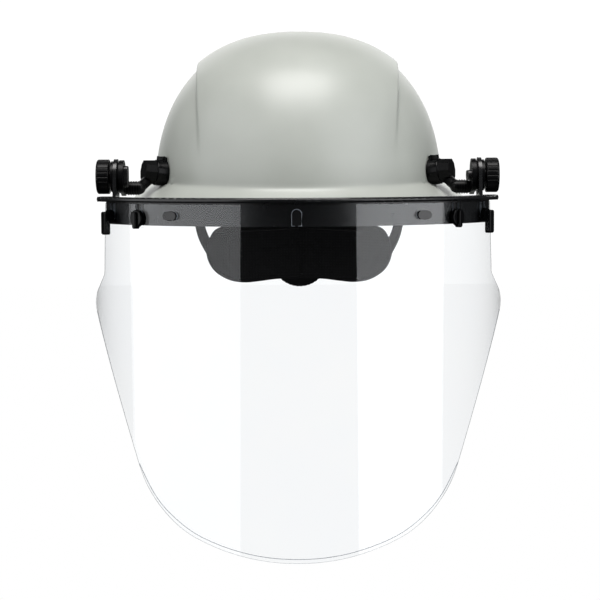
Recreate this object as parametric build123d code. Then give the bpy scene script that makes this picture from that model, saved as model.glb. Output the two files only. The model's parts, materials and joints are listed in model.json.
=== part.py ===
from build123d import *
import os
from math import cos, degrees, pi, radians, sin, sqrt

os.makedirs("parts", exist_ok=True)

# A full-brim hard hat with a clear face shield clamped to it. Millimetres, +Z up, the wearer faces -Y.
# The origin is on the headband ring's middle line, a little above its lower edge. Wearer's left is +X.
SIDES = {"left": 1, "right": -1}
GAP = 0.1          # face-to-face gap between pieces that are assembled together
RUN = 0.06         # radial clearance of a shaft in its hole
BITE = 1.0         # how far the features of one moulding run into each other

# Hat shell
CROWN_X, CROWN_Y = 104.6, 129.0
CROWN_BASE_Z = 19.0
CROWN_HEIGHT, CROWN_POWER = 112.0, 2.33
PANEL_X, PANEL_Y = 107.0, 129.5
PANEL_HEIGHT, PANEL_POWER = 113.0, 2.4
PANEL_HALF_BASE, PANEL_HALF_TOP = 67.0, 72.0
CROWN_SINK = 9.0
DOME_POINTS = 10
SHELL_WALL, BRIM_WALL = 2.3, 2.6
BRIM_RINGS = [(139.0, 168.0, 4.0), (118.0, 143.5, 10.0), (105.6, 130.0, 18.6)]
SOCKET_ANGLES = [45, 135, 225, 315]
SOCKET_IN, SOCKET_OUT, SOCKET_LOW, SOCKET_HIGH, SOCKET_WALL = 103.0, 117.5, 12.0, 28.0, 2.5
POCKET_LOW, POCKET_HIGH, POCKET_ROOM = 11.0, 25.0, 0.2

# Head harness
BAND_X, BAND_Y, BAND_THICK, BAND_LOW, BAND_HIGH = 79.0, 97.0, 2.0, -4.0, 20.0
BROW_THICK, BROW_LOW, BROW_HIGH, BROW_BACK_Y, BROW_GAP = 4.0, -5.5, 22.5, -30.0, 0.3
KEY_R, KEY_WIDE, KEY_THICK = 107.5, 14.0, 2.5
KEY_ARM_LOW, KEY_ARM_HIGH, KEY_TOP = 3.0, 7.0, 24.0
PEG_R, PEG_INNER, PEG_OUTER = 2.5, 87.6, 91.2
PEG_HOLE_IN, PEG_HOLE_OUT = 80.0, 95.0
STRAP_R, STRAP_WIDE, STRAP_THICK, STRAP_RISE, STRAP_CROSSING = 98.0, 20.0, 1.2, 92.0, 1.0
NAPE_X, NAPE_Y, NAPE_THICK = 83.0, 101.0, 2.0
NAPE_LOW, NAPE_HIGH, NAPE_REACH_Y = -51.0, -32.0, 110.0
NAPE_LEG_FRONT = [(35, 12), (39.5, -8), (45.3, -18.5), (55.6, -30.1), (67, -42), (80, -51)]
NAPE_LEG_BACK = [(86, -32), (78, -31), (68, -27), (57.5, -19.5), (50.7, -8.5), (46.5, 12)]

# Nape pad: half its outline as seen from straight ahead, bottom centre round to the top corner
PAD_THICK, PAD_GAP = 7.6, 0.4
PAD_EDGE = [(0, -53), (18.6, -53.4), (31, -54.7), (43, -55.2), (53.3, -52), (62.7, -44.2), (68, -31), (66, -19.5),
            (57, -11.6)]
PAD_TOP_SLOPE = (-1, 0.25)

# Ratchet adjuster on the back of the nape band, built round the band's curve
RATCHET_Y, RATCHET_Z = 32.9, -37.9
RACK_R, RACK_THICK, RACK_HALF_ANGLE, RACK_REACH_ANGLE = 71.6, 1.5, 17.0, 37.0
RACK_TALL = 5.5
TOOTH_MODULE, PINION_TEETH, TOOTH_ROOT = 1.0, 12, 1.25
RACK_TOOTH_FOOT, RACK_TOOTH_TIP = 0.36, 0.12
PINION_TOOTH_FOOT, PINION_TOOTH_TIP = 0.3, 0.1
TOOTH_SINK = 0.2
TOOTH_BACKLASH = 0.35
PINION_END_ROOM = 0.5
HOUSING_R, HOUSING_CAVITY_R, HOUSING_OUTER_R = 71.2, 74.8, 77.0
HOUSING_ANGLE, HOUSING_HALF_TALL, HOUSING_WALL = 21.5, 15.0, 1.8
RATCHET_KNOB_R, RATCHET_KNOB_THICK, RATCHET_KNOB_OFF, RATCHET_KNOB_ROUND = 21.8, 11.5, 0.4, 2.5
FLUTES, FLUTE_R, FLUTE_OUT = 20, 2.2, 1.3
AXLE_R, AXLE_REACH = 3.5, 7.0

# Pivot of the shield on each side
PIVOT_Y, PIVOT_Z = -85.0, 28.8
BOLT_R, BOLT_HEAD_LONG, BOLT_HEAD_WIDE, BOLT_ROUND, BOLT_TIP_SHORT = 2.5, 14.6, 6.8, 0.8, 3.0
BOLT_HEAD_UPRIGHT = {1: False, -1: True}      # each T-head stays the way its bolt was tightened
BOLT_HEAD_IN, ARM_PLATE_IN, ARM_PLATE_OUT = 114.4, 117.3, 120.2
EAR_IN, EAR_OUT, WASHER_OUT, KNOB_IN, KNOB_OUT = 121.5, 123.8, 125.8, 127.0, 135.6
EAR_R, ARM_PLATE_R, FRICTION_R, KNOB_WASHER_R, PIVOT_KNOB_R = 12.0, 11.2, 9.5, 10.5, 11.7
KNOB_RIM_ROUND, KNOB_BACK_ROUND, KNOB_NECK_R = 1.6, 0.8, 4.5
GROOVES, GROOVE_R, GROOVE_OUT = 24, 0.8, 0.5
ROD_Y, ROD_Z, ROD_R, ROD_IN = -75.0, 20.9, 4.3, 108.2
RIDGES, RIDGE_PITCH, RIDGE_WIDE, RIDGE_RISE = 5, 1.7, 0.9, 0.5
HEEL_R, LEG_R, LEG_FOOT_DOWN, LEG_FOOT_BACK = 5.3, 3.6, 5.2, 4.4
ARM_WEB = [(-93, 21), (-77, 16), (-70, 21.5), (-76, 35)]

# Mounting block on each temple, its axis pointing outwards, a little forwards and a little up
BLOCK_AT = (89.0, -59.6, 30.5)
BLOCK_TURN, BLOCK_RISE = 22.0, 6.0
FLANGE_R, FLANGE_SINK, FLANGE_END = 9.3, 4.0, 3.4
BODY_R, BODY_END, BODY_ROUND = 8.9, 10.8, 0.8
CAP_R, CAP_TIP_R, CAP_END, CAP_FACES = 8.3, 7.5, 18.5, 10
SPINDLE_R, SPINDLE_START, SPINDLE_END = 4.0, 2.0, 16.0
SCREW_R, SCREW_HEAD_R, SCREW_HEAD_START, SCREW_HEAD_END = 2.1, 4.0, -2.4, 0.4
SCREW_END, SCREW_HOLE_START, SCREW_HOLE_END = 6.5, -6.0, 7.0
BUTTON_WIDE, BUTTON_LONG, BUTTON_AT = 3.6, 3.4, 7.7
BUTTON_LOW, BUTTON_HIGH, BUTTON_ROOM, BUTTON_POCKET_LOW = 6.0, 11.3, 0.15, 4.6
BUTTON_RAMP = [(7.4, 0.4), (9.4, 0.8), (11.6, 5.3), (7.4, 5.3)]
BUTTON_RAMP_HALF = 3.4

# Visor bracket: an upright band with a flat shelf round its top edge, on one arc
ARC_Y, ARC_R = -33.0, 145.0
BAND_ANGLE = 62.0
VISOR_BAND_THICK, VISOR_BAND_LOW = 2.7, -2.4
SHELF_Z, SHELF_THICK, SHELF_OUT_R, SHELF_ROUND = 14.0, 3.2, 151.2, 1.4
SLOT_Z, CENTRE_SLOT_Z, SIDE_PEG_ANGLE, PEG_ROOM = 4.0, 3.0, 33.5, 0.3
PEG_LONG, PEG_WIDE, CENTRE_PEG_LONG, CENTRE_PEG_WIDE, PEG_STAND = 10.4, 5.2, 10.2, 5.6, 0.9
EAR_FOOT_FRONT, EAR_FOOT_BACK = 3.0, 6.0
TAB_OUT, TAB_FRONT_Y, TAB_CORNER = 133.5, -104.0, 7.0

# Clear window, bent round the same arc; half its outline as seen from straight ahead
WINDOW_THICK, WINDOW_ANGLE = 1.5, 80.0
WINDOW_TOP_Z = 11.4
CHIN, CHIN_SIDE, JAW, CHIN_ARC_R = (0, -215.0), (31.7, -212.2), (62.9, -203.0), 178.0
JAW_CURVE = [(83.3, -190.5), (95.4, -177.0)]
CHEEK, TIP, NOTCH, SHOULDER_X = (104.8, -158.0), (139.8, -55.0), (129.6, -36.0), 128.2
TIP_ROUND, NOTCH_ROUND = 20.0, 5.0

# Quarter-turn latches that hold the window: angle round the arc and height
LATCHES = {"latch_outer_left": (57.0, 2.6), "latch_inner_left": (44.6, 2.0),
           "latch_inner_right": (-44.6, 2.0), "latch_outer_right": (-57.0, 2.6)}
LATCH_SHAFT_R, LATCH_HEAD_R, LATCH_HEAD_IN, LATCH_HEAD_OUT = 2.4, 3.8, 140.5, 142.1
LATCH_HUB_R, LATCH_HUB_END, LATCH_SLOT_ROOM = 4.6, 3.0, 0.2
LEVER_WIDE, LEVER_THICK, LEVER_UP, LEVER_DOWN, LEVER_CORNER, LEVER_ROUND = 6.0, 3.6, 3.4, 11.8, 1.6, 0.9
LEVER_SINK = 0.4
DISC_R, DISC_THICK, DISC_ROUND = 5.6, 2.4, 0.7
BAR_WIDE, BAR_UP, BAR_DOWN, BAR_THICK = 3.2, 4.4, 6.6, 1.7


def write(name, *solids):
    """Write one sub-part as its own STEP file."""
    shape = solids[0] if len(solids) == 1 else Compound(children=list(solids))
    export_step(shape, f"parts/{name}.step")


def about_x(radius, low_x, high_x, y, z):
    """A cylinder along X between two stations, whichever side they are on."""
    middle = (low_x + high_x) / 2
    return Pos(middle, y, z) * Rot(0, 90, 0) * Cylinder(radius, abs(high_x - low_x))


def about_z(radius, low, high):
    """A cylinder on the Z axis between two heights."""
    return Pos(0, 0, (low + high) / 2) * Cylinder(radius, high - low)


def block(low_x, high_x, wide, low_z, high_z):
    """A box between two stations on X and two heights, centred on Y."""
    return Pos((low_x + high_x) / 2, 0, (low_z + high_z) / 2) * Box(high_x - low_x, wide, high_z - low_z)


def radial(angle, z):
    """The frame at an angle round the visor's arc: X along the arc, Y up, Z straight outwards."""
    a = radians(angle)
    outwards = (sin(a), -cos(a), 0)
    along = (cos(a), sin(a), 0)
    return Plane(origin=(0, ARC_Y, z), x_dir=along, z_dir=outwards)


# ---------------------------------------------------------------- hat shell
def dome(radius_x, radius_y, height, power):
    """A superellipse dome on an upright skirt that runs down into the brim."""
    arc = []
    for i in range(DOME_POINTS + 1):
        turn = pi / 2 * i / DOME_POINTS
        arc.append((radius_x * cos(turn) ** (2 / power), height * sin(turn) ** (2 / power)))
    outline = [
        Spline(*arc, tangents=[(0, 1), (-1, 0)]),
        Polyline((0, height), (0, -CROWN_SINK), (radius_x, -CROWN_SINK), (radius_x, 0)),
    ]
    turned = revolve(Plane.XZ * make_face(outline), Axis.Z)
    return Pos(0, 0, CROWN_BASE_Z) * scale(turned, by=(1, radius_y / radius_x, 1))


def crown(inset):
    """The dome with its raised centre panel, taken in by the wall thickness for the inside."""
    sides = dome(CROWN_X - inset, CROWN_Y - inset, CROWN_HEIGHT - inset, CROWN_POWER)
    panel = dome(PANEL_X - inset, PANEL_Y - inset, PANEL_HEIGHT - inset, PANEL_POWER)
    base, top = PANEL_HALF_BASE - inset, PANEL_HALF_TOP - inset
    low, high = CROWN_BASE_Z - 2 * CROWN_SINK, CROWN_BASE_Z + PANEL_HEIGHT + CROWN_SINK
    slab = extrude(Plane.XZ * Polygon((-base, low), (base, low), (top, high), (-top, high), align=None),
                   2 * PANEL_Y, both=True)
    return sides + (panel & slab)


def skirt(lowered):
    """The solid under the brim's top surface, as a stack of elliptical frusta."""
    body = None
    for (x0, y0, z0), (x1, y1, z1) in zip(BRIM_RINGS, BRIM_RINGS[1:]):
        layer = loft([Pos(0, 0, z0 - lowered) * Ellipse(x0, y0), Pos(0, 0, z1 - lowered) * Ellipse(x1, y1)],
                     ruled=True)
        body = layer if body is None else body + layer
    return body


def socket(angle):
    """Pocket on the inside of the shell that a harness key slides up into."""
    body = block(SOCKET_IN, SOCKET_OUT, KEY_WIDE + 2 * SOCKET_WALL, SOCKET_LOW, SOCKET_HIGH)
    half = KEY_THICK / 2 + POCKET_ROOM
    pocket = block(KEY_R - half, KEY_R + half, KEY_WIDE + 2 * POCKET_ROOM, POCKET_LOW, POCKET_HIGH)
    return Rot(0, 0, angle) * (body - pocket)


def hat_shell():
    """Crown and full brim in one moulding, with four harness sockets inside."""
    hollow = crown(SHELL_WALL)
    well = extrude(Ellipse(CROWN_X - SHELL_WALL, CROWN_Y - SHELL_WALL), CROWN_BASE_Z + CROWN_SINK)
    shell = OUTSIDE - hollow - Pos(0, 0, -CROWN_SINK) * well - skirt(BRIM_WALL)
    crown_solid = crown(0)
    for angle in SOCKET_ANGLES:
        shell = shell + (socket(angle) & crown_solid)
    for side in SIDES.values():
        shell = shell - block_bore(side, SCREW_R + RUN, SCREW_HOLE_START, SCREW_HOLE_END)
    return shell


# ---------------------------------------------------------------- head harness
def oval_wall(radius_x, radius_y, thick, low, high):
    """An upright oval wall of even thickness."""
    ring = Ellipse(radius_x + thick, radius_y + thick) - Ellipse(radius_x, radius_y)
    return Pos(0, 0, low) * extrude(ring, high - low)


def headband():
    """Front and side band that grips the head, with four holes for the harness keys."""
    band = oval_wall(BAND_X, BAND_Y, BAND_THICK, BAND_LOW, BAND_HIGH)
    for angle in SOCKET_ANGLES:
        hole = about_x(PEG_R + GAP, PEG_HOLE_IN, PEG_HOLE_OUT, 0, (KEY_ARM_LOW + KEY_ARM_HIGH) / 2)
        band = band - Rot(0, 0, angle) * hole
    return band


def brow_pad():
    """Sweatband folded inside the front of the headband."""
    inner_x, inner_y = BAND_X - BROW_THICK - BROW_GAP, BAND_Y - BROW_THICK - BROW_GAP
    pad = oval_wall(inner_x, inner_y, BROW_THICK, BROW_LOW, BROW_HIGH)
    return pad & Pos(0, BROW_BACK_Y - BAND_Y, 0) * Box(4 * BAND_X, 2 * BAND_Y, 4 * BROW_HIGH)


def suspension_key(angle):
    """Hooked key: tongue up into the shell, arm inwards, peg through the headband."""
    tongue = block(KEY_R - KEY_THICK / 2, KEY_R + KEY_THICK / 2, KEY_WIDE, KEY_ARM_LOW, KEY_TOP)
    reach = block(PEG_OUTER, KEY_R, KEY_WIDE, KEY_ARM_LOW, KEY_ARM_HIGH)
    peg = about_x(PEG_R, PEG_INNER, PEG_OUTER + BITE, 0, (KEY_ARM_LOW + KEY_ARM_HIGH) / 2)
    return Rot(0, 0, angle) * (tongue + reach + peg)


def crown_strap(angle, lift):
    """Woven strap over the head, from one key across to the opposite one."""
    foot = KEY_ARM_HIGH + GAP
    outer = Ellipse(STRAP_R + STRAP_THICK / 2, STRAP_RISE + lift + STRAP_THICK)
    inner = Ellipse(STRAP_R - STRAP_THICK / 2, STRAP_RISE + lift)
    above = Pos(0, STRAP_RISE) * Rectangle(4 * STRAP_R, 2 * STRAP_RISE)
    arch = extrude(Plane.XZ * ((outer - inner) & above), STRAP_WIDE / 2, both=True)
    return Rot(0, 0, angle) * Pos(0, 0, foot) * arch


def nape_strap():
    """Band behind the neck with a leg rising forwards to the headband on each side."""
    wall = oval_wall(NAPE_X, NAPE_Y, NAPE_THICK, NAPE_LOW - BITE, BAND_HIGH)
    outline = [
        Spline(*NAPE_LEG_FRONT),
        Polyline(NAPE_LEG_FRONT[-1], (NAPE_REACH_Y, NAPE_LOW), (NAPE_REACH_Y, NAPE_HIGH), NAPE_LEG_BACK[0]),
        Spline(*NAPE_LEG_BACK, tangents=[(-1, 0), (NAPE_LEG_BACK[-1][0] - NAPE_LEG_BACK[-2][0],
                                                   NAPE_LEG_BACK[-1][1] - NAPE_LEG_BACK[-2][1])]),
        Polyline(NAPE_LEG_BACK[-1], NAPE_LEG_FRONT[0]),
    ]
    return wall & extrude(Plane.YZ * make_face(outline), 2 * NAPE_X, both=True)


def nape_pad():
    """Two-lobed cushion inside the nape band."""
    low, high = 2 * PAD_EDGE[0][1], PAD_THICK
    inset = PAD_GAP + PAD_THICK
    wall = oval_wall(NAPE_X - inset, NAPE_Y - inset, PAD_THICK, low, high)
    half = Spline(*PAD_EDGE, tangents=[(1, 0), PAD_TOP_SLOPE])
    corner = PAD_EDGE[-1]
    face = Plane.XZ * make_face([half, mirror(half, Plane.YZ), Polyline(corner, (-corner[0], corner[1]))])
    return wall & extrude(face, -2 * NAPE_Y)


# ---------------------------------------------------------------- ratchet adjuster
def back_sector(inner, outer, start, end, low, high):
    """Curved block behind the neck, between two angles from straight back towards +X."""
    middle, half = (start + end) / 2, abs(end - start) / 2
    ring = Circle(outer) - Circle(inner)
    reach = 2 * outer
    wedge = Polygon((0, 0), (reach * sin(radians(-half)), reach * cos(radians(half))),
                    (0, reach), (reach * sin(radians(half)), reach * cos(radians(half))), align=None)
    flat = Rot(0, 0, -middle) * (ring & wedge)
    return Pos(0, RATCHET_Y, low) * extrude(flat, high - low)


def tooth(pitch, base, tip, foot_part, tip_part):
    """One tooth pointing along +X from its base to its tip, as parts of the pitch wide."""
    return Polygon((base, -pitch * foot_part), (tip, -pitch * tip_part), (tip, pitch * tip_part),
                   (base, pitch * foot_part), align=None)


def rack_strip(side):
    """Toothed end of the adjusting strap: the left one runs over the pinion, the right one under it."""
    pitch = TOOTH_MODULE * pi
    pitch_z = TOOTH_MODULE * PINION_TEETH / 2
    root, tip = pitch_z + TOOTH_ROOT * TOOTH_MODULE, pitch_z - TOOTH_MODULE
    strip = back_sector(RACK_R, RACK_R + RACK_THICK, -RACK_HALF_ANGLE, RACK_REACH_ANGLE, root, pitch_z + RACK_TALL)
    step = degrees(pitch / (RACK_R + RACK_THICK / 2))
    flat = Rot(0, 0, -90) * tooth(pitch, -root - TOOTH_SINK, -tip, RACK_TOOTH_FOOT, RACK_TOOTH_TIP)
    cog = Pos(0, RACK_R, 0) * extrude(Plane.XZ * flat, -RACK_THICK)
    count = int(RACK_HALF_ANGLE / step)
    for i in range(-count, count):
        strip = strip + Pos(0, RATCHET_Y, 0) * Rot(0, 0, -(i + 0.5) * step) * cog
    if side < 0:
        strip = Rot(0, 180, 0) * strip
    return Pos(0, 0, RATCHET_Z) * strip


def ratchet_pinion():
    """Small gear that draws the two rack strips together, with its axle out to the knob."""
    pitch_r = TOOTH_MODULE * PINION_TEETH / 2
    root_r, tip_r = pitch_r - TOOTH_ROOT * TOOTH_MODULE, pitch_r + TOOTH_MODULE - TOOTH_BACKLASH
    cog = tooth(pi * TOOTH_MODULE, root_r - TOOTH_SINK, tip_r, PINION_TOOTH_FOOT, PINION_TOOTH_TIP)
    gear = Circle(root_r)
    for i in range(PINION_TEETH):
        gear = gear + Rot(0, 0, 360 / PINION_TEETH * i) * cog
    start, end = RATCHET_Y + RACK_R + GAP, RATCHET_Y + HOUSING_CAVITY_R - PINION_END_ROOM
    wheel = Pos(0, start, 0) * extrude(Plane.XZ * gear, start - end)
    axle_end = RATCHET_Y + HOUSING_OUTER_R + AXLE_REACH
    axle = Rot(-90, 0, 0) * about_z(AXLE_R, start, axle_end)
    return Pos(0, 0, RATCHET_Z) * (wheel + axle)


def ratchet_housing():
    """Curved case over the racks and pinion, open at both ends and towards the nape band."""
    tall = HOUSING_HALF_TALL
    case = back_sector(HOUSING_R, HOUSING_OUTER_R, -HOUSING_ANGLE, HOUSING_ANGLE, -tall, tall)
    inside = tall - HOUSING_WALL
    case = case - back_sector(HOUSING_R - BITE, HOUSING_CAVITY_R, -90, 90, -inside, inside)
    bore = Rot(-90, 0, 0) * about_z(AXLE_R + RUN, RATCHET_Y + HOUSING_R, RATCHET_Y + HOUSING_OUTER_R + BITE)
    return Pos(0, 0, RATCHET_Z) * (case - bore)


def ratchet_knob():
    """Round grip for the adjuster, scalloped round its edge."""
    grip = about_z(RATCHET_KNOB_R, 0, RATCHET_KNOB_THICK)
    grip = fillet(grip.edges().filter_by(GeomType.CIRCLE).sort_by(Axis.Z)[-1], RATCHET_KNOB_ROUND)
    for i in range(FLUTES):
        flute = Pos(RATCHET_KNOB_R + FLUTE_OUT, 0, 0) * Cylinder(FLUTE_R, 4 * RATCHET_KNOB_THICK)
        grip = grip - Rot(0, 0, 360 / FLUTES * i) * flute
    grip = grip - about_z(AXLE_R + RUN, -BITE, AXLE_REACH - RATCHET_KNOB_OFF + GAP)
    return Pos(0, RATCHET_Y + HOUSING_OUTER_R + RATCHET_KNOB_OFF, RATCHET_Z) * Rot(-90, 0, 0) * grip


# ---------------------------------------------------------------- mounting blocks and arms
def block_frame(side):
    """Frame on the temple: Z along the block's axis, outwards, a little forwards and up."""
    turn, rise = radians(BLOCK_TURN), radians(BLOCK_RISE)
    outwards = (side * cos(turn) * cos(rise), -sin(turn) * cos(rise), sin(rise))
    along = (sin(turn), side * cos(turn), 0)
    x, y, z = BLOCK_AT
    return Plane(origin=(side * x, y, z), x_dir=along, z_dir=outwards)


def block_bore(side, radius, start, end):
    """A cylinder on the block's axis between two distances from its foot."""
    return block_frame(side) * about_z(radius, start, end)


def button_box(side, room, low):
    """The release button's block, or with room all round, the pocket it slides in."""
    tall = BUTTON_HIGH - low
    return block_frame(side) * Pos(0, low + tall / 2, BUTTON_AT) * Box(BUTTON_WIDE + 2 * room, tall,
                                                                        BUTTON_LONG + 2 * room)


def mounting_block(side):
    """Flange on the hat, round body with a ramp up to the button, and the spindle for the arm's cap."""
    flange = block_bore(side, FLANGE_R, -FLANGE_SINK, FLANGE_END)
    body = block_bore(side, BODY_R, 0, BODY_END)
    body = fillet(body.edges().filter_by(GeomType.CIRCLE), BODY_ROUND)
    ramp = block_frame(side) * extrude(Plane.YZ * Polygon(*BUTTON_RAMP, align=None), BUTTON_RAMP_HALF, both=True)
    spindle = block_bore(side, SPINDLE_R, SPINDLE_START, SPINDLE_END)
    whole = flange + body + ramp + spindle - OUTSIDE - button_box(side, BUTTON_ROOM, BUTTON_POCKET_LOW)
    return whole - block_bore(side, SCREW_R + RUN, SCREW_HOLE_START, SCREW_HOLE_END)


def block_screw(side):
    """Screw from inside the shell into the block."""
    head = block_bore(side, SCREW_HEAD_R, SCREW_HEAD_START, SCREW_HEAD_END)
    return head + block_bore(side, SCREW_R, SCREW_HEAD_START, SCREW_END)


def release_button(side):
    """Small catch on top of the block that frees the arm."""
    return button_box(side, 0, BUTTON_LOW)


def arm(side):
    """Cap over the block's spindle, leg down to the rod, ridged rod out to the plate at the pivot."""
    rim = 1 / cos(pi / CAP_FACES)
    cap = block_frame(side) * loft([Pos(0, 0, BODY_END + GAP) * RegularPolygon(CAP_R * rim, CAP_FACES),
                                    Pos(0, 0, CAP_END) * RegularPolygon(CAP_TIP_R * rim, CAP_FACES)])
    foot = block_frame(side).from_local_coords(Vector(0, -LEG_FOOT_DOWN, CAP_END - LEG_FOOT_BACK))
    knee = Vector(side * ROD_IN, ROD_Y, ROD_Z)
    leg = Solid.make_cylinder(LEG_R, (foot - knee).length, Plane(origin=knee, z_dir=foot - knee))
    whole = cap + leg + Pos(*knee) * Sphere(ROD_R) + about_x(ROD_R, side * ROD_IN, side * ARM_PLATE_OUT, ROD_Y, ROD_Z)
    for i in range(RIDGES):
        start = ROD_IN + i * RIDGE_PITCH
        whole = whole + about_x(ROD_R + RIDGE_RISE, side * start, side * (start + RIDGE_WIDE), ROD_Y, ROD_Z)
    disc = about_x(ARM_PLATE_R, side * ARM_PLATE_IN, side * ARM_PLATE_OUT, PIVOT_Y, PIVOT_Z)
    heel = about_x(HEEL_R, side * ARM_PLATE_IN, side * ARM_PLATE_OUT, ROD_Y, ROD_Z)
    web = Plane.YZ * Polygon(*ARM_WEB, align=None)
    web = Pos(side * ARM_PLATE_IN, 0, 0) * extrude(web, side * (ARM_PLATE_OUT - ARM_PLATE_IN))
    whole = whole + disc + heel + web
    whole = whole - block_bore(side, SPINDLE_R + RUN, BODY_END - BITE, SPINDLE_END + GAP)
    return whole - about_x(BOLT_R + RUN, side * BOLT_HEAD_IN, side * EAR_IN, PIVOT_Y, PIVOT_Z)


# ---------------------------------------------------------------- pivot hardware
def pivot_bolt(side):
    """T-headed bolt through the arm plate, the ear and the knob."""
    turn = 90 if BOLT_HEAD_UPRIGHT[side] else 0
    outline = Plane.YZ * Pos(PIVOT_Y, PIVOT_Z) * SlotOverall(BOLT_HEAD_LONG, BOLT_HEAD_WIDE, rotation=turn)
    head = Pos(side * BOLT_HEAD_IN, 0, 0) * extrude(outline, side * (ARM_PLATE_IN - GAP - BOLT_HEAD_IN))
    head = fillet(head.faces().sort_by(Axis.X)[0 if side > 0 else -1].edges(), BOLT_ROUND)
    return head + about_x(BOLT_R, side * (ARM_PLATE_IN - BITE), side * (KNOB_OUT - BOLT_TIP_SHORT), PIVOT_Y, PIVOT_Z)


def ring_about_pivot(side, inner_x, outer_x, radius):
    """A washer on the pivot bolt."""
    ring = about_x(radius, side * inner_x, side * outer_x, PIVOT_Y, PIVOT_Z)
    return ring - about_x(BOLT_R + RUN, side * (inner_x - BITE), side * (outer_x + BITE), PIVOT_Y, PIVOT_Z)


def pivot_knob(side):
    """Round clamp knob with a ribbed rim and a narrow neck."""
    thick = KNOB_OUT - KNOB_IN
    grip = about_z(PIVOT_KNOB_R, 0, thick)
    rims = grip.edges().filter_by(GeomType.CIRCLE).sort_by(Axis.Z)
    grip = fillet(rims[-1], KNOB_RIM_ROUND)
    grip = fillet(grip.edges().filter_by(GeomType.CIRCLE).sort_by(Axis.Z)[0], KNOB_BACK_ROUND)
    for i in range(GROOVES):
        groove = Pos(PIVOT_KNOB_R + GROOVE_OUT, 0, 0) * Cylinder(GROOVE_R, 4 * thick)
        grip = grip - Rot(0, 0, 360 / GROOVES * i) * groove
    neck_low = WASHER_OUT + GAP - KNOB_IN
    bore = about_z(BOLT_R + RUN, neck_low - BITE, thick - BOLT_TIP_SHORT + GAP)
    knob = grip + about_z(KNOB_NECK_R, neck_low, BITE) - bore
    return Pos(side * KNOB_IN, PIVOT_Y, PIVOT_Z) * Rot(0, side * 90, 0) * knob


# ---------------------------------------------------------------- visor bracket
def front_sector(inner, outer, angle, low, high):
    """Upright wall along the visor's arc, the same angle each way from straight ahead."""
    ring = Circle(outer) - Circle(inner)
    reach = 4 * outer
    a = radians(angle)
    wedge = Polygon((0, 0), (-reach * sin(a), -reach * cos(a)), (0, -reach), (reach * sin(a), -reach * cos(a)),
                    align=None)
    return Pos(0, ARC_Y, low) * extrude(ring & wedge, high - low)


def stadium(angle, z, long, wide, upright, start, end):
    """A round-ended peg or hole along the outward direction, between two radii."""
    outline = SlotOverall(long, wide, rotation=90 if upright else 0)
    return extrude(radial(angle, z).offset(start) * outline, end - start)


def window_pegs(room, start, end):
    """The three pegs that locate the window, or with room all round, the holes they fit in."""
    grow = 2 * room
    side_pegs = [stadium(angle, SLOT_Z, PEG_LONG + grow, PEG_WIDE + grow, False, start, end)
                 for angle in (-SIDE_PEG_ANGLE, SIDE_PEG_ANGLE)]
    centre = stadium(0, CENTRE_SLOT_Z, CENTRE_PEG_LONG + grow, CENTRE_PEG_WIDE + grow, True, start, end)
    return side_pegs + [centre]


def shelf():
    """Flat shelf over the band, round-ended, its rims rounded."""
    shelf_in = ARC_R - VISOR_BAND_THICK
    low, high = SHELF_Z - SHELF_THICK / 2, SHELF_Z + SHELF_THICK / 2
    plate = front_sector(shelf_in, SHELF_OUT_R, BAND_ANGLE, low, high)
    middle, end_r = (shelf_in + SHELF_OUT_R) / 2, (SHELF_OUT_R - shelf_in) / 2
    for side in SIDES.values():
        a = radians(BAND_ANGLE) * side
        plate = plate + Pos(middle * sin(a), ARC_Y - middle * cos(a), 0) * about_z(end_r, low, high)
    rims = [e for e in plate.edges().filter_by(Plane.XY) if e.length > SHELF_ROUND]
    return fillet(rims, SHELF_ROUND)


def visor_bracket():
    """Band, shelf and the two ears that carry it, with three pegs that locate the window."""
    band_in = ARC_R - VISOR_BAND_THICK
    band = front_sector(band_in, ARC_R - GAP, BAND_ANGLE, VISOR_BAND_LOW, SHELF_Z)
    bracket = band + shelf()
    for side in SIDES.values():
        bracket = bracket + ear(side)
    for peg in window_pegs(0, ARC_R - BITE, ARC_R + WINDOW_THICK + PEG_STAND):
        bracket = bracket + peg
    for angle, z in LATCHES.values():
        bracket = bracket - radial(angle, z) * about_z(LATCH_SHAFT_R + RUN, LATCH_HEAD_IN, ARC_R + BITE)
    return bracket


def ear(side):
    """Upright plate at the shelf's end with the pivot hole, on a flat tab."""
    low, high = SHELF_Z - SHELF_THICK / 2, SHELF_Z + SHELF_THICK / 2
    disc = Plane.YZ * Pos(PIVOT_Y, PIVOT_Z) * Circle(EAR_R)
    tab_back = PIVOT_Y + EAR_FOOT_BACK
    foot = Plane.YZ * Polygon((PIVOT_Y - EAR_R, PIVOT_Z), (PIVOT_Y - EAR_R - EAR_FOOT_FRONT, low), (tab_back, low),
                              (PIVOT_Y + EAR_R, PIVOT_Z), align=None)
    plate = Pos(side * EAR_IN, 0, 0) * extrude(disc + foot, side * (EAR_OUT - EAR_IN))
    tab = Pos(side * (EAR_IN + TAB_OUT) / 2, (tab_back + TAB_FRONT_Y) / 2, (low + high) / 2)
    tab = tab * Box(TAB_OUT - EAR_IN, tab_back - TAB_FRONT_Y, high - low)
    corner = tab.edges().filter_by(Axis.Z).sort_by(Axis.Y)[-2:].sort_by(Axis.X)
    tab = fillet(corner[-1 if side > 0 else 0], TAB_CORNER)
    bore = about_x(BOLT_R + RUN, side * (EAR_IN - BITE), side * (EAR_OUT + BITE), PIVOT_Y, PIVOT_Z)
    return tab + plate - bore


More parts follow.
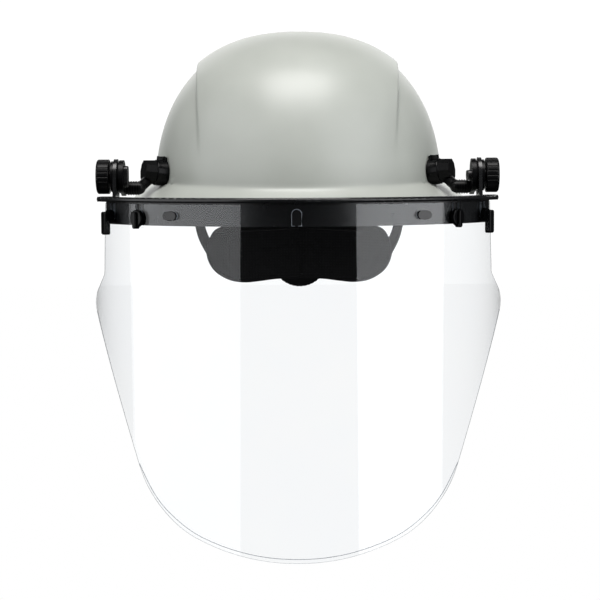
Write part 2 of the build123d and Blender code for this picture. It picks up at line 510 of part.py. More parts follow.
# ---------------------------------------------------------------- window and latches
def window_half_outline():
    """Half of the outline as seen from straight ahead, from bottom centre to top centre."""
    slope = JAW[0] / CHIN_ARC_R
    rise = Vector(TIP[0] - CHEEK[0], TIP[1] - CHEEK[1]).normalized()
    shoulder = (SHOULDER_X, WINDOW_TOP_Z)
    return [
        ThreePointArc(CHIN, CHIN_SIDE, JAW),
        Spline(JAW, *JAW_CURVE, CHEEK, tangents=[(sqrt(1 - slope ** 2), slope), (rise.X, rise.Y)]),
        FilletPolyline(CHEEK, TIP, NOTCH, shoulder, radius=[TIP_ROUND, NOTCH_ROUND]),
        Polyline(shoulder, (0, WINDOW_TOP_Z)),
    ]


def visor_window():
    """Clear curved sheet, cut to its outline, pierced for the pegs and slotted from above for the latches."""
    half = window_half_outline()
    outline = make_face(half + [mirror(piece, Plane.YZ) for piece in half])
    before, after = ARC_R - WINDOW_THICK, ARC_R + 2 * WINDOW_THICK
    sheet = front_sector(ARC_R, ARC_R + WINDOW_THICK, WINDOW_ANGLE, CHIN[1] - BITE, WINDOW_TOP_Z + BITE)
    sheet = sheet & extrude(Plane.XZ * outline, 2 * ARC_R)
    for hole in window_pegs(PEG_ROOM, before, after):
        sheet = sheet - hole
    width = 2 * (LATCH_SHAFT_R + LATCH_SLOT_ROOM)
    for angle, z in LATCHES.values():
        rise = WINDOW_TOP_Z + BITE - z
        slot = Circle(width / 2) + Pos(0, rise / 2) * Rectangle(width, rise)
        sheet = sheet - extrude(radial(angle, z).offset(before) * slot, after - before)
    return sheet


def latch_shaft(angle, z):
    """Headed shaft through the band, up to the latch's own foot outside the window."""
    shaft = about_z(LATCH_SHAFT_R, LATCH_HEAD_IN, ARC_R + WINDOW_THICK + GAP + BITE)
    return radial(angle, z) * (shaft + about_z(LATCH_HEAD_R, LATCH_HEAD_IN, LATCH_HEAD_OUT))


def rounded_outside(solid, angle, radius):
    """Round the edges of a latch's outermost face."""
    outwards = radial(angle, 0).z_dir
    return fillet(solid.faces().sort_by(lambda face: face.center().dot(outwards))[-1].edges(), radius)


def lever_latch(angle, z):
    """Quarter-turn latch: round hub against the window and a hanging thumb lever."""
    start = ARC_R + WINDOW_THICK + GAP
    plane = radial(angle, z)
    hub = plane * about_z(LATCH_HUB_R, start, start + LATCH_HUB_END)
    lever_at = plane.offset(start + LATCH_HUB_END - LEVER_SINK) * Pos(0, (LEVER_UP - LEVER_DOWN) / 2)
    lever = extrude(lever_at * RectangleRounded(LEVER_WIDE, LEVER_UP + LEVER_DOWN, LEVER_CORNER),
                    LEVER_THICK + LEVER_SINK)
    return latch_shaft(angle, z) + hub + rounded_outside(lever, angle, LEVER_ROUND)


def disc_latch(angle, z):
    """Quarter-turn latch: round disc against the window with a raised thumb bar across it."""
    start = ARC_R + WINDOW_THICK + GAP
    plane = radial(angle, z)
    disc = rounded_outside(plane * about_z(DISC_R, start, start + DISC_THICK), angle, DISC_ROUND)
    bar_at = plane.offset(start) * Pos(0, (BAR_UP - BAR_DOWN) / 2)
    bar = extrude(bar_at * RectangleRounded(BAR_WIDE, BAR_UP + BAR_DOWN, LEVER_CORNER - GAP), DISC_THICK + BAR_THICK)
    return latch_shaft(angle, z) + disc + rounded_outside(bar, angle, DISC_ROUND)


OUTSIDE = crown(0) + skirt(0)
write("hat_shell", hat_shell())
write("headband", headband())
write("brow_pad", brow_pad())
write("suspension_keys", *[suspension_key(angle) for angle in SOCKET_ANGLES])
write("crown_strap_lower", crown_strap(SOCKET_ANGLES[0], 0))
write("crown_strap_upper", crown_strap(SOCKET_ANGLES[1], STRAP_THICK + STRAP_CROSSING))
write("nape_strap", nape_strap())
write("nape_pad", nape_pad())
write("ratchet_housing", ratchet_housing())
write("ratchet_pinion", ratchet_pinion())
write("ratchet_knob", ratchet_knob())
write("visor_bracket", visor_bracket())
write("visor_window", visor_window())
for name, place in LATCHES.items():
    write(name, lever_latch(*place) if "outer" in name else disc_latch(*place))
for name, side in SIDES.items():
    write(f"rack_strip_{name}", rack_strip(side))
    write(f"mounting_block_{name}", mounting_block(side))
    write(f"block_screw_{name}", block_screw(side))
    write(f"release_button_{name}", release_button(side))
    write(f"arm_{name}", arm(side))
    write(f"pivot_bolt_{name}", pivot_bolt(side))
    write(f"friction_washer_{name}", ring_about_pivot(side, ARM_PLATE_OUT + GAP, EAR_IN - GAP, FRICTION_R))
    write(f"knob_washer_{name}", ring_about_pivot(side, EAR_OUT + GAP, WASHER_OUT, KNOB_WASHER_R))
    write(f"pivot_knob_{name}", pivot_knob(side))
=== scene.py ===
"""Looks for a face shield on a full-brim hard hat: moulded shell, clear window, bracket and head harness."""

import json
from math import cos, pi, radians, sin, sqrt

import bpy
from mathutils import Euler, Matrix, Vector

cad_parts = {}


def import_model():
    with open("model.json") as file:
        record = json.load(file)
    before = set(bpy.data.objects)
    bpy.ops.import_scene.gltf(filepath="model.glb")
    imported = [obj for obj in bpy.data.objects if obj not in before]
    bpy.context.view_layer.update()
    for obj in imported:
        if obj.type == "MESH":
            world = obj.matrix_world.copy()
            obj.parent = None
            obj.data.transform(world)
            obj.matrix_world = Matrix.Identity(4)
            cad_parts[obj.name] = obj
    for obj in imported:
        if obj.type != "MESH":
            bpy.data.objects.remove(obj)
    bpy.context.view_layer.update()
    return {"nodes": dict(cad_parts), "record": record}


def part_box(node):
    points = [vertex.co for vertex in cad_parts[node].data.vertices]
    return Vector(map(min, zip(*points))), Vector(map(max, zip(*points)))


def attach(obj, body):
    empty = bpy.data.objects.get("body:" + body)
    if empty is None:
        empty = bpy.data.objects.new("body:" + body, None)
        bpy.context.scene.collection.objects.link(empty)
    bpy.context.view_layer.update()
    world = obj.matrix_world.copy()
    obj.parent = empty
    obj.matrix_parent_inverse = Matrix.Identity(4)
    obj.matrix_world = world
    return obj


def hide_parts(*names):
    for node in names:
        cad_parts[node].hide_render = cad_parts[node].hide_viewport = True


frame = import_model()

# Sizes below are in millimetres; the frame and the meshes made here are in metres.
MM = 0.001
VIEW_TRANSFORM = "Standard"

# Hat shell: its crown is a little narrower than the frame's shell, and its brim more curved at the sides
CROWN = {"x": 103.0, "y": 129.0, "height": 112.0, "power": 2.24}
PANEL = {"x": 105.6, "y": 129.5, "height": 112.4, "power": 2.38}
CROWN_BASE_Z, CROWN_START_FRONT, CROWN_START_SIDE = 19.0, 22.0, 25.4
CROWN_FOOT_SPREAD, CROWN_FOOT_TALL = 1.6, 26.0
PANEL_HALF_BASE, PANEL_HALF_TOP, PANEL_EDGE_SOFT = 64.9, 72.2, 1.6
PANEL_FADE_LOW, PANEL_FADE_HIGH = 34.0, 98.0
BRIM_X, BRIM_Y, SHELL_WALL = 139.0, 168.0, 2.3
# How far out over the brim (0 at the crown, 1 at the lip), and how high in front and at the sides:
# over the top, round the lip and back under
BRIM_TOP = [(0.006, 21.0, 24.9), (0.02, 20.0, 24.5), (0.06, 18.4, 23.8), (0.16, 15.6, 22.0),
            (0.28, 12.8, 18.5), (0.42, 10.2, 13.5), (0.6, 7.5, 9.0), (0.8, 5.3, 5.9)]
BRIM_LIP = [(0.93, 4.2, 4.3), (0.985, 3.6, 3.6), (1.0, 2.6, 2.6), (0.985, 1.6, 1.6), (0.93, 1.3, 1.4)]
BRIM_UNDER = [(0.8, 2.5, 3.1), (0.6, 4.8, 6.3), (0.42, 7.4, 10.7), (0.28, 9.9, 15.7), (0.16, 12.7, 19.2),
              (0.08, 14.9, 20.8), (0.02, 16.8, 21.4), (-0.05, 17.8, 22.0), (-0.067, 19.6, 22.9)]
BRIM_SECTION = BRIM_TOP + BRIM_LIP + BRIM_UNDER
SHELL_AROUND, SHELL_UP, LINING_UP = 560, 120, 20
POLE_GAP, SHELL_SHARP = 0.004, 50
SOCKET_ANGLES = (45, 135, 225, 315)
SOCKET_IN, SOCKET_OUT, SOCKET_HALF, SOCKET_LOW, SOCKET_HIGH = 103.0, 113.4, 9.5, 12.0, 28.0
POCKET_IN, POCKET_OUT, POCKET_HALF = 106.05, 108.95, 7.2

# Window: its arc, the painted light line of its bevel and the painted glint on the lip of its middle slot
ARC_Y, ARC_R, SHEET_IOR, FACE_SHARE = -33.0, 146.6, 1.4, 0.9
BEVEL_HALF = [(0, -212.2), (31.4, -209.5), (62.2, -200.6), (81.8, -188.6), (94.0, -176.0), (104.3, -158.2)]
BEVEL_STEPS, BEVEL_LINE_R = 8, 0.22
LIP_Y, LIP_HALF, LIP_LOW, LIP_SPRING, LIP_R, LIP_STEPS = -179.7, 3.1, -1.9, 5.4, 0.3, 14

# Harness
NAPE_X, NAPE_Y = 83.0, 101.0
PAD_GAP, PAD_DEEP = 0.7, 7.0
PAD_RINGS = [(0.0, 0.42), (0.025, 0.66), (0.06, 0.83), (0.12, 0.94), (0.2, 1.0), (0.35, 1.0), (0.55, 1.0),
             (0.8, 1.0)]
PAD_EDGE = [(0, -51.9), (18.6, -52.3), (31, -53.5), (43, -54.0), (54.5, -51.2), (64.5, -43.4), (69.4, -31.5),
            (67.4, -19.2), (59, -11.2), (30, -9.8), (0, -9.6)]
PAD_STEPS, PAD_MIDDLE_Z, PIPING_R = 6, -33, 0.9
# Sewn grooves: where they run (first, past the last, step), then their width and depth
MIDDLE_GROOVE, MIDDLE_CUT = (-56, -8, 2), (3.6, 2.2)
LOBE_GROOVE, LOBE_CUT, LOBE_GROOVE_Z, LOBE_GROOVE_FALL = (6, 46, 2), (2.6, 1.1), -24.0, 0.16
SEAM_WIDE, SEAM_TALL, SEAM_DEEP = 0.93, 0.84, 0.82
BROW_X, BROW_Y, BROW_DEEP, BROW_MIDDLE_Z, BROW_HALF_TALL = 78.4, 96.4, 3.4, 8.5, 13.4
BROW_END, BROW_STEPS, BROW_RINGS = 1.22, 80, 7
BROW_RIM, BROW_SWELL, BROW_GAP = 0.35, 0.5, 0.3
BROW_SEAM_END, BROW_SEAM_Z, BROW_SEAM_IN = 1.18, 10.4, 0.35
CLOTH_FRAMES, CLOTH_STIFFNESS = 16, 40
# A stitch: share of its length, share of its radius there
STITCH_SHAPE, STITCH_SIDES = [(0.0, 0.35), (0.25, 1.0), (0.75, 1.0), (1.0, 0.35)], 6
ALMOST_ONE = 0.999
GRIP_Y, GRIP_Z, GRIP_RIBS, GRIP_CUT = 110.3, -37.9, 44, 0.25
GRIP_PROFILE = [(3.0, 0.0), (21.2, 0.0), (22.2, 0.6), (22.5, 1.3), (22.5, 8.6), (22.0, 10.4), (20.8, 11.3),
                (18.8, 11.5), (17.9, 11.0), (2.0, 11.0)]
STRAP_R, STRAP_WIDE, STRAP_THICK, STRAP_RISE, STRAP_FOOT, STRAP_CROSSING = 98.0, 20.0, 1.2, 92.0, 7.1, 2.2
STRAP_LONG_STEPS, STRAP_WIDE_STEPS = 120, 10
STRAP_EDGE_POWER, STRAP_EDGE_THICK, STRAP_TRIM, STRAP_UV_STRETCH = 6, 0.35, 0.05, 1.35
WAVE_PER_PITCH = 6.3       # a wave texture's scale is one over this and the pitch


# ---------------------------------------------------------------- node helpers
def new_material(name):
    """An empty node material with its Principled shader and output."""
    mat = bpy.data.materials.new(name)
    mat.use_nodes = True
    tree = mat.node_tree
    shader = tree.nodes["Principled BSDF"]
    return mat, tree, shader


def add(tree, kind, **values):
    """One node, with its properties and unlinked inputs set."""
    node = tree.nodes.new(kind)
    for key, value in values.items():
        if key in node.inputs:
            node.inputs[key].default_value = value
        else:
            setattr(node, key, value)
    return node


def texture_space(tree):
    """Object coordinates in metres: nothing slides when the piece moves."""
    return add(tree, "ShaderNodeTexCoord").outputs["Object"]


def noise_tex(tree, scale, detail=4.0, rough=0.5):
    """A noise texture on object coordinates."""
    node = add(tree, "ShaderNodeTexNoise", Scale=scale, Detail=detail, Roughness=rough)
    tree.links.new(texture_space(tree), node.inputs["Vector"])
    return node.outputs["Fac"]


def maths(tree, operation, first, second):
    """One arithmetic step on two values, each a socket or a number."""
    node = add(tree, "ShaderNodeMath", operation=operation)
    for socket, value in zip(node.inputs, (first, second)):
        if isinstance(value, (int, float)):
            socket.default_value = value
        else:
            tree.links.new(value, socket)
    return node.outputs["Value"]


def ramp(tree, source, stops):
    """A colour ramp: stops are (position, colour) pairs."""
    node = add(tree, "ShaderNodeValToRGB")
    tree.links.new(source, node.inputs["Fac"])
    first, last = node.color_ramp.elements
    first.position, first.color = stops[0][0], (*stops[0][1], 1)
    last.position, last.color = stops[-1][0], (*stops[-1][1], 1)
    for position, colour in stops[1:-1]:
        element = node.color_ramp.elements.new(position)
        element.color = (*colour, 1)
    return node.outputs["Color"]


def span(tree, source, low, high):
    """A 0-1 value stretched to another range."""
    node = add(tree, "ShaderNodeMapRange")
    node.inputs["To Min"].default_value = low
    node.inputs["To Max"].default_value = high
    tree.links.new(source, node.inputs["Value"])
    return node.outputs["Result"]


def bump(tree, shader, height, strength, distance):
    """Bump from a height value, on top of any bump already there."""
    node = add(tree, "ShaderNodeBump", Strength=strength, Distance=distance)
    tree.links.new(height, node.inputs["Height"])
    before = shader.inputs["Normal"]
    if before.is_linked:
        tree.links.new(before.links[0].from_socket, node.inputs["Normal"])
    tree.links.new(node.outputs["Normal"], shader.inputs["Normal"])


# ---------------------------------------------------------------- materials
def moulded(name, dark, light, rough, grain_scale, grain_depth, specular=0.5, blotch_scale=30.0):
    """Moulded plastic: faint blotches of colour, uneven gloss and a fine grain."""
    mat, tree, shader = new_material(name)
    blotch = noise_tex(tree, blotch_scale, 3.0)
    tree.links.new(ramp(tree, blotch, [(0.3, dark), (0.7, light)]), shader.inputs["Base Color"])
    gloss = noise_tex(tree, blotch_scale * 4, 6.0, 0.65)
    tree.links.new(span(tree, gloss, rough[0], rough[1]), shader.inputs["Roughness"])
    bump(tree, shader, noise_tex(tree, grain_scale, 2.0), 0.3, grain_depth)
    shader.inputs["Specular IOR Level"].default_value = specular
    return mat


def knitted(name, dark, light, pitch):
    """Knitted cover: crossed ribs whose spacing follows the pitch, a soft fuzz over them, a dull sheen."""
    mat, tree, shader = new_material(name)
    place = texture_space(tree)
    ribs = []
    for direction in ("X", "Z"):
        wave = add(tree, "ShaderNodeTexWave", bands_direction=direction, Scale=1 / (pitch * WAVE_PER_PITCH),
                   Distortion=1.2)
        wave.inputs["Detail Scale"].default_value = 2.0
        tree.links.new(place, wave.inputs["Vector"])
        ribs.append(wave.outputs["Fac"])
    weave = maths(tree, "MULTIPLY", ribs[0], ribs[1])
    fuzz = noise_tex(tree, 2600.0, 3.0, 0.7)
    tone = maths(tree, "ADD", maths(tree, "MULTIPLY", weave, 0.55), maths(tree, "MULTIPLY", fuzz, 0.45))
    tree.links.new(ramp(tree, tone, [(0.25, dark), (0.75, light)]), shader.inputs["Base Color"])
    tree.links.new(span(tree, fuzz, 0.82, 0.97), shader.inputs["Roughness"])
    bump(tree, shader, weave, 0.5, 0.00025)
    bump(tree, shader, fuzz, 0.25, 0.00015)
    shader.inputs["Specular IOR Level"].default_value = 0.2
    return mat


def woven(name, dark, light, pitch):
    """Flat webbing: fine yarns across the strap, coarser ones along it, laid by the strap's own UVs."""
    mat, tree, shader = new_material(name)
    along = add(tree, "ShaderNodeUVMap").outputs["UV"]
    yarns = []
    for direction, finer in (("X", 1.0), ("Y", 0.6)):
        wave = add(tree, "ShaderNodeTexWave", bands_direction=direction,
                   Scale=1 / (pitch * finer * WAVE_PER_PITCH), Distortion=0.4)
        tree.links.new(along, wave.inputs["Vector"])
        yarns.append(wave.outputs["Fac"])
    weave = maths(tree, "MAXIMUM", yarns[0], yarns[1])
    fuzz = noise_tex(tree, 1800.0, 4.0, 0.7)
    tone = maths(tree, "ADD", maths(tree, "MULTIPLY", weave, 0.7), maths(tree, "MULTIPLY", fuzz, 0.3))
    tree.links.new(ramp(tree, tone, [(0.3, dark), (0.8, light)]), shader.inputs["Base Color"])
    tree.links.new(span(tree, fuzz, 0.7, 0.92), shader.inputs["Roughness"])
    bump(tree, shader, weave, 0.6, 0.0003)
    return mat


def clear_sheet():
    """Clear polycarbonate: what is behind shows through, and each face adds its own reflection."""
    mat, tree, shader = new_material("clear_polycarbonate")
    tree.nodes.remove(shader)
    smear = noise_tex(tree, 14.0, 5.0, 0.6)
    through = add(tree, "ShaderNodeBsdfTransparent")
    tree.links.new(ramp(tree, smear, [(0.35, (0.985, 0.993, 1.0)), (0.7, (0.993, 0.998, 1.0))]),
                   through.inputs["Color"])
    gloss = add(tree, "ShaderNodeBsdfGlossy")
    tree.links.new(span(tree, smear, 0.004, 0.03), gloss.inputs["Roughness"])
    back = add(tree, "ShaderNodeNewGeometry").outputs["Backfacing"]
    edge_on = add(tree, "ShaderNodeFresnel")
    tree.links.new(span(tree, back, SHEET_IOR, 1 / SHEET_IOR), edge_on.inputs["IOR"])
    mix = add(tree, "ShaderNodeMixShader")
    tree.links.new(edge_on.outputs["Fac"], mix.inputs["Fac"])
    tree.links.new(through.outputs["BSDF"], mix.inputs[1])
    tree.links.new(gloss.outputs["BSDF"], mix.inputs[2])
    tree.links.new(mix.outputs["Shader"], tree.nodes["Material Output"].inputs["Surface"])
    return mat


def sheet_edge_painted_glint():
    """The sheet's cut and polished edge, painted a bluish grey that stands in for the light it catches and
    bends.
    """
    mat, tree, shader = new_material("polycarbonate_edge_painted_glint")
    tone = noise_tex(tree, 120.0, 4.0)
    # Painted highlight: these greys stand in for the light that the clear polished edge catches.
    glint_greys = ramp(tree, tone, [(0.3, (0.2, 0.22, 0.25)), (0.7, (0.3, 0.33, 0.37))])
    tree.links.new(glint_greys, shader.inputs["Base Color"])
    tree.links.new(span(tree, tone, 0.12, 0.3), shader.inputs["Roughness"])
    tree.links.new(span(tree, tone, 0.6, 0.8), shader.inputs["Alpha"])
    return mat


GREY_DARK, GREY_LIGHT = (0.346, 0.363, 0.334), (0.368, 0.386, 0.356)
BLACK, SOOT, INK = (0.0024, 0.0026, 0.0029), (0.0055, 0.0058, 0.0064), (0.001, 0.001, 0.0013)
# Moulded looks: dark, light, roughness from and to, grain scale and depth, specular, blotch scale
MATERIALS = {
    "shell_plastic": moulded("shell_plastic_look", GREY_DARK, GREY_LIGHT, (0.34, 0.42), 900.0, 0.00006),
    "black_plastic": moulded("black_plastic_look", INK, BLACK, (0.28, 0.38), 2200.0, 0.00004, 0.14),
    "gloss_black": moulded("gloss_black_look", INK, BLACK, (0.15, 0.22), 700.0, 0.00002, 0.13),
    "harness_plastic": moulded("harness_plastic_look", BLACK, SOOT, (0.36, 0.5), 1500.0, 0.0001, 0.3),
    "bolt_steel": moulded("bolt_steel_look", SOOT, (0.012, 0.012, 0.013), (0.25, 0.4), 1200.0, 0.00004, 0.4),
    "friction_fibre": moulded("friction_fibre_look", BLACK, SOOT, (0.75, 0.9), 1800.0, 0.0002, 0.1),
    "pad_fabric": knitted("pad_fabric_look", INK, SOOT, 0.0011),
    "strap_webbing": woven("strap_webbing_look", (0.006, 0.006, 0.007), (0.022, 0.022, 0.025), 0.0016),
    "clear_sheet": clear_sheet(),
}
BRACKET_LOOK = moulded("bracket_look", BLACK, SOOT, (0.25, 0.29), 2200.0, 0.000012, 0.5, 9.0)
# Painted highlight: the grey look of the window's edge, its slot lip and its bevel line.
EDGE_GLINT_LOOK = sheet_edge_painted_glint()


def dress_cad_nodes():
    """Every carried-over CAD node gets the look of its material slot; the bracket has a smoother one."""
    for entry in frame["record"]["subparts"]:
        node = frame["nodes"][entry["node"]]
        smooth = entry["node"] == "visor_bracket"
        node.data.materials.clear()
        node.data.materials.append(BRACKET_LOOK if smooth else MATERIALS[entry["material_slot"]])


# ---------------------------------------------------------------- mesh helpers
def mesh_object(name, points, faces, materials, smooth=True):
    """A mesh piece from points in millimetres."""
    data = bpy.data.meshes.new(name)
    data.from_pydata([tuple(c * MM for c in p) for p in points], [], faces)
    data.validate()
    data.polygons.foreach_set("use_smooth", [smooth] * len(data.polygons))
    for material in materials:
        data.materials.append(material)
    piece = bpy.data.objects.new(name, data)
    bpy.context.collection.objects.link(piece)
    return piece


def grid_faces(rows, columns, closed, first=0):
    """Quads between rows of points; closed joins each row's last point to its first."""
    faces = []
    for j in range(rows - 1):
        for i in range(columns if closed else columns - 1):
            k = (i + 1) % columns
            a, b = first + j * columns, first + (j + 1) * columns
            faces.append((a + i, a + k, b + k, b + i))
    return faces


def box_points(x0, x1, y0, y1, z0, z1, turn):
    """The eight corners of a box, turned about the Z axis, and its six faces."""
    c, s = cos(turn), sin(turn)
    points = [(x * c - y * s, x * s + y * c, z) for z in (z0, z1) for y in (y0, y1) for x in (x0, x1)]
    faces = [(0, 2, 3, 1), (4, 5, 7, 6), (0, 1, 5, 4), (2, 6, 7, 3), (0, 4, 6, 2), (1, 3, 7, 5)]
    return points, faces


def settle(piece, body, slot, *nodes):
    """The piece rides on a body and stands for its CAD nodes. The slot is not used."""
    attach(piece, body)
    if nodes:
        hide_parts(*nodes)


def apply_modifiers(piece):
    """Turn the piece's modifiers into its own mesh."""
    solved = bpy.data.meshes.new_from_object(piece.evaluated_get(bpy.context.evaluated_depsgraph_get()))
    old = piece.data
    piece.modifiers.clear()
    piece.data = solved
    bpy.data.meshes.remove(old)


def ease(value):
    """Smooth step from 0 to 1."""
    value = min(max(value, 0.0), 1.0)
    return value * value * (3 - 2 * value)


# ---------------------------------------------------------------- hat shell
def dome_point(size, around, rise, inset):
    """A point on a superellipse dome, a little spread at its foot, taken in by a wall thickness."""
    flat = cos(rise) ** (2 / size["power"])
    z = CROWN_BASE_Z + (size["height"] - inset) * sin(rise) ** (2 / size["power"])
    wide = size["x"] - inset + CROWN_FOOT_SPREAD * (1 - ease((z - CROWN_START_FRONT) / CROWN_FOOT_TALL))
    return Vector((wide * flat * cos(around), (size["y"] - inset) * flat * sin(around), z))


def crown_point(around, rise, inset=0.0):
    """The crown: lower sides and the raised centre panel, with a soft step between them."""
    side = dome_point(CROWN, around, rise, inset)
    panel = dome_point(PANEL, around, rise, inset)
    height = (side.z - CROWN_BASE_Z) / CROWN["height"]
    half = PANEL_HALF_BASE + (PANEL_HALF_TOP - PANEL_HALF_BASE) * height - inset
    raised = ease(0.5 + (half - abs(side.x + panel.x) / 2) / (2 * PANEL_EDGE_SOFT))
    shown = ease((side.z - PANEL_FADE_LOW) / (PANEL_FADE_HIGH - PANEL_FADE_LOW))
    return side.lerp(panel, raised * shown)


def shell_rows():
    """Rings of points: crown from the top down, over the brim, round its lip, and up inside."""
    turns = [2 * pi * i / SHELL_AROUND for i in range(SHELL_AROUND)]
    higher = CROWN_START_SIDE - CROWN_START_FRONT
    lows = [foot_rise(CROWN_START_FRONT + higher * cos(turn) ** 2) for turn in turns]
    high = pi / 2 - POLE_GAP
    rows = []
    for j in range(SHELL_UP + 1):
        rows.append([crown_point(turn, high + (low - high) * j / SHELL_UP) for turn, low in zip(turns, lows)])
    foot = rows[-1]
    for out, front_z, side_z in BRIM_SECTION:
        ring = []
        for turn, base in zip(turns, foot):
            lip = Vector((BRIM_X * cos(turn), BRIM_Y * sin(turn), 0))
            point = base.lerp(lip, out)
            ring.append(Vector((point.x, point.y, front_z + (side_z - front_z) * cos(turn) ** 2)))
        rows.append(ring)
    for j in range(LINING_UP + 1):
        rows.append([crown_point(turn, low + (high - low) * j / LINING_UP, SHELL_WALL)
                     for turn, low in zip(turns, lows)])
    return rows


def foot_rise(z):
    """The rise angle at which the crown is at a low height."""
    return ((z - CROWN_BASE_Z) / CROWN["height"]) ** (CROWN["power"] / 2)


def hat_shell():
    """Crown and brim in one moulding, closed at the top outside and in, with the harness sockets."""
    rows = shell_rows()
    points = [p for ring in rows for p in ring]
    faces = [tuple(reversed(face)) for face in grid_faces(len(rows), SHELL_AROUND, True)]
    faces.append(tuple(range(SHELL_AROUND)))
    faces.append(tuple(reversed(range(len(points) - SHELL_AROUND, len(points)))))
    walls = [(SOCKET_IN, POCKET_IN, -SOCKET_HALF, SOCKET_HALF),
             (POCKET_OUT, SOCKET_OUT, -SOCKET_HALF, SOCKET_HALF),
             (POCKET_IN, POCKET_OUT, -SOCKET_HALF, -POCKET_HALF),
             (POCKET_IN, POCKET_OUT, POCKET_HALF, SOCKET_HALF)]
    for angle in SOCKET_ANGLES:
        for wall in walls:
            corners, sides = box_points(*wall, SOCKET_LOW, SOCKET_HIGH, radians(angle))
            faces += [tuple(len(points) + i for i in side) for side in sides]
            points += corners
    piece = mesh_object("hat_shell_moulding", points, faces, [MATERIALS["shell_plastic"]])
    piece.data.set_sharp_from_angle(angle=radians(SHELL_SHARP))
    settle(piece, "hat", "shell_plastic", "hat_shell")


# ---------------------------------------------------------------- window
def window_sheet():
    """The frame's own window with its true cylinder shading, and painted light on its cut edge: a grey that
    stands in for the glint of the polished edge.
    """
    data = frame["nodes"]["visor_window"].data.copy()
    data.materials.clear()
    data.materials.append(MATERIALS["clear_sheet"])
    data.materials.append(EDGE_GLINT_LOOK)
    axis = Vector((0, ARC_Y * MM, 0))
    normals = [None] * len(data.loops)
    for face in data.polygons:
        out = face.center - axis
        out.z = 0
        facing = out.normalized().dot(face.normal)
        flat = abs(facing) > FACE_SHARE
        face.use_smooth = flat
        face.material_index = 0 if flat else 1
        for index in face.loop_indices:
            spoke = data.vertices[data.loops[index].vertex_index].co - axis
            spoke.z = 0
            normals[index] = spoke.normalized() * (1 if facing > 0 else -1) if flat else face.normal.copy()
    data.normals_split_custom_set(normals)
    piece = bpy.data.objects.new("window_sheet", data)
    bpy.context.collection.objects.link(piece)
    settle(piece, "shield", "clear_sheet", "visor_window")


def centre_slot_lip_painted_glint():
    """Painted highlight: a grey cord along the lip of the window's middle slot stands in for the light line
    its polished lip shows against the black band.
    """
    turns = [pi * i / LIP_STEPS for i in range(LIP_STEPS + 1)]
    line = [Vector((LIP_HALF * cos(a), LIP_Y, LIP_SPRING + LIP_HALF * sin(a))) for a in turns]
    line += [Vector((-LIP_HALF, LIP_Y, LIP_LOW)), Vector((LIP_HALF, LIP_Y, LIP_LOW))]
    settle(tube("centre_slot_lip_painted_glint", line, LIP_R, EDGE_GLINT_LOOK, True), "shield", "clear_sheet")


def bevel_painted_line():
    """Painted refraction line: a thin grey cord stands in for the light line at the inner edge of the bevel
    round the window's chin.
    """
    other_half = [(-x, z) for x, z in reversed(BEVEL_HALF[1:])]
    flat = catmull(other_half + BEVEL_HALF, BEVEL_STEPS)
    line = [Vector((p.x, ARC_Y - sqrt(ARC_R ** 2 - p.x ** 2), p.y)) for p in flat]
    settle(tube("window_bevel_line", line, BEVEL_LINE_R, EDGE_GLINT_LOOK, False), "shield", "clear_sheet")


# ---------------------------------------------------------------- ratchet grip
def ratchet_grip():
    """Round grip turned from a profile, its edge finely milled."""
    around = 4 * GRIP_RIBS
    points = []
    for radius, along in GRIP_PROFILE:
        for k in range(around):
            a = -2 * pi * k / around
            r = radius - (GRIP_CUT if radius > GRIP_PROFILE[1][0] and k % 4 < 2 else 0)
            points.append(Vector((r * cos(a), GRIP_Y + along, GRIP_Z + r * sin(a))))
    rows = len(GRIP_PROFILE)
    faces = grid_faces(rows, around, True)
    faces += [tuple(reversed(range(around))), tuple((rows - 1) * around + k for k in range(around))]
    piece = mesh_object("ratchet_grip", points, faces, [MATERIALS["black_plastic"]], False)
    settle(piece, "ratchet_dial", "black_plastic", "ratchet_knob")


# ---------------------------------------------------------------- pads
def catmull(points, steps):
    """A smooth line through points."""
    line = []
    for i in range(len(points) - 1):
        before = Vector(points[max(i - 1, 0)])
        start, end = Vector(points[i]), Vector(points[i + 1])
        after = Vector(points[min(i + 2, len(points) - 1)])
        for j in range(steps):
            t = j / steps
            linear, square = end - before, 2 * before - 5 * start + 4 * end - after
            cube = 3 * start - before - 3 * end + after
            line.append(0.5 * (2 * start + linear * t + square * t * t + cube * t ** 3))
    line.append(Vector(points[-1]))
    return line


def nape_place(x, z, inwards):
    """A point on the curve of the nape band, so far inside it."""
    share = min(abs(x) / (NAPE_X - inwards), ALMOST_ONE)
    return Vector((x, (NAPE_Y - inwards) * sqrt(1 - share * share), z))


def pad_outline():
    """The nape pad's whole edge, seen from the front, closed."""
    half = catmull(PAD_EDGE, PAD_STEPS)
    other = [Vector((-p.x, p.y)) for p in reversed(half[1:-1])]
    return half + other


def cushion_rings(edge, centre, depth, place):
    """A closed cushion with a rounded rim: rings from the edge in to the centre, in front and behind."""
    points, faces = [], []
    around, count = len(edge), len(PAD_RINGS)
    for face_side in (-0.5, 0.5):
        for t, thick in PAD_RINGS:
            inwards = PAD_GAP + depth * (0.5 + face_side * thick)
            for p in edge:
                q = p.lerp(centre, t)
                points.append(place(q.x, q.y, inwards))
    inner = count * around
    front = grid_faces(count, around, True)
    back = [tuple(reversed(face)) for face in grid_faces(count, around, True, inner)]
    faces += front + back
    for i in range(around):
        k = (i + 1) % around
        faces.append((i, inner + i, inner + k, k))
    faces.append(tuple((count - 1) * around + i for i in range(around)))
    faces.append(tuple(reversed([inner + (count - 1) * around + i for i in range(around)])))
    return points, faces


